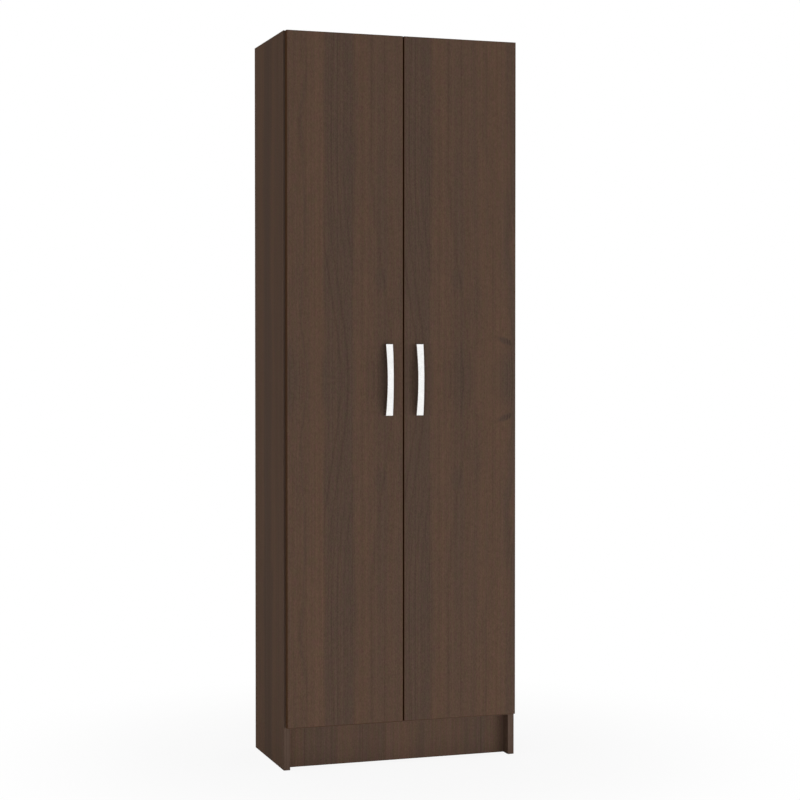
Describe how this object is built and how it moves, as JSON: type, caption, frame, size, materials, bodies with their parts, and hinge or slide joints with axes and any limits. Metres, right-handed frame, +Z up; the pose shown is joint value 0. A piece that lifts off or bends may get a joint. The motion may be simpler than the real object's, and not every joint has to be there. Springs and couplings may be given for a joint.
{
  "type": "wardrobe",
  "caption": "Tall shallow wardrobe of dark wood-grain boards, with hinged doors, bow handles, a recessed plinth, a hat shelf, a hanging rail and a shoe shelf.",
  "frame": {"origin": "on the floor, under the middle of the box around the whole wardrobe, handles included", "axes": "+Z up, the doors face -Y, +X to the right of someone who faces the doors"},
  "size_m": [0.6, 0.321, 1.79],
  "materials": {
    "walnut_board": "satin melamine with vertical wood grain",
    "walnut_door": "satin melamine with vertical wood grain",
    "door_edge": "satin edge band",
    "carcass_edge": "satin edge band",
    "back_board": "hardboard",
    "handle_metal": "satin",
    "hinge_steel": "nickel plated",
    "zinc_screws": "zinc plated",
    "cam_zinc": "die cast",
    "bolt_steel": "zinc plated",
    "beech": "raw",
    "rail_chrome": "polished",
    "bracket_zinc": "satin",
    "cap_plastic": "moulded",
    "catch_plastic": "moulded",
    "magnet_steel": "plain",
    "strike_steel": "zinc plated",
    "bumper_rubber": "clear"
  },
  "bodies": {
    "carcass": {"back_panel": "back_board", "bottom_panel": "walnut_board", "cam_bolts": "bolt_steel", "cam_locks": "cam_zinc", "carcass_edge_bands": "carcass_edge", "catch_magnets": "magnet_steel", "catch_screws": "zinc_screws", "hanging_rail": "rail_chrome", "hat_shelf": "walnut_board", "left_arm_screws": "zinc_screws", "left_hinge_arms": "hinge_steel", "left_hinge_plates": "hinge_steel", "left_plate_screws": "zinc_screws", "left_side_panel": "walnut_board", "magnetic_catches": "catch_plastic", "plinth": "walnut_board", "rail_brackets": "bracket_zinc", "rail_end_caps": "cap_plastic", "rail_screws": "zinc_screws", "right_arm_screws": "zinc_screws", "right_hinge_arms": "hinge_steel", "right_hinge_plates": "hinge_steel", "right_plate_screws": "zinc_screws", "right_side_panel": "walnut_board", "shelf_pins": "bolt_steel", "shoe_shelf": "walnut_board", "top_panel": "walnut_board", "wood_dowels": "beech"},
    "left_door_leaf": {"left_door": "walnut_door", "left_door_edge_band": "door_edge", "left_handle": "handle_metal", "left_handle_screws": "zinc_screws", "left_hinge_cups": "hinge_steel", "left_hinge_pins": "zinc_screws", "left_cup_screws": "zinc_screws", "left_door_bumpers": "bumper_rubber", "left_strike_plate": "strike_steel", "left_strike_screws": "zinc_screws"},
    "right_door_leaf": {"right_door": "walnut_door", "right_door_edge_band": "door_edge", "right_handle": "handle_metal", "right_handle_screws": "zinc_screws", "right_hinge_cups": "hinge_steel", "right_hinge_pins": "zinc_screws", "right_cup_screws": "zinc_screws", "right_door_bumpers": "bumper_rubber", "right_strike_plate": "strike_steel", "right_strike_screws": "zinc_screws"}
  },
  "joints": [
    {"name": "left_door_swing", "type": "hinge", "parent": "carcass", "child": "left_door_leaf", "pos_m": [-0.2892, -0.132, 0.947], "axis": [0, 0, -1], "range_deg": [0, 95]},
    {"name": "right_door_swing", "type": "hinge", "parent": "carcass", "child": "right_door_leaf", "pos_m": [0.2892, -0.132, 0.947], "axis": [0, 0, 1], "range_deg": [0, 95]}
  ]
}
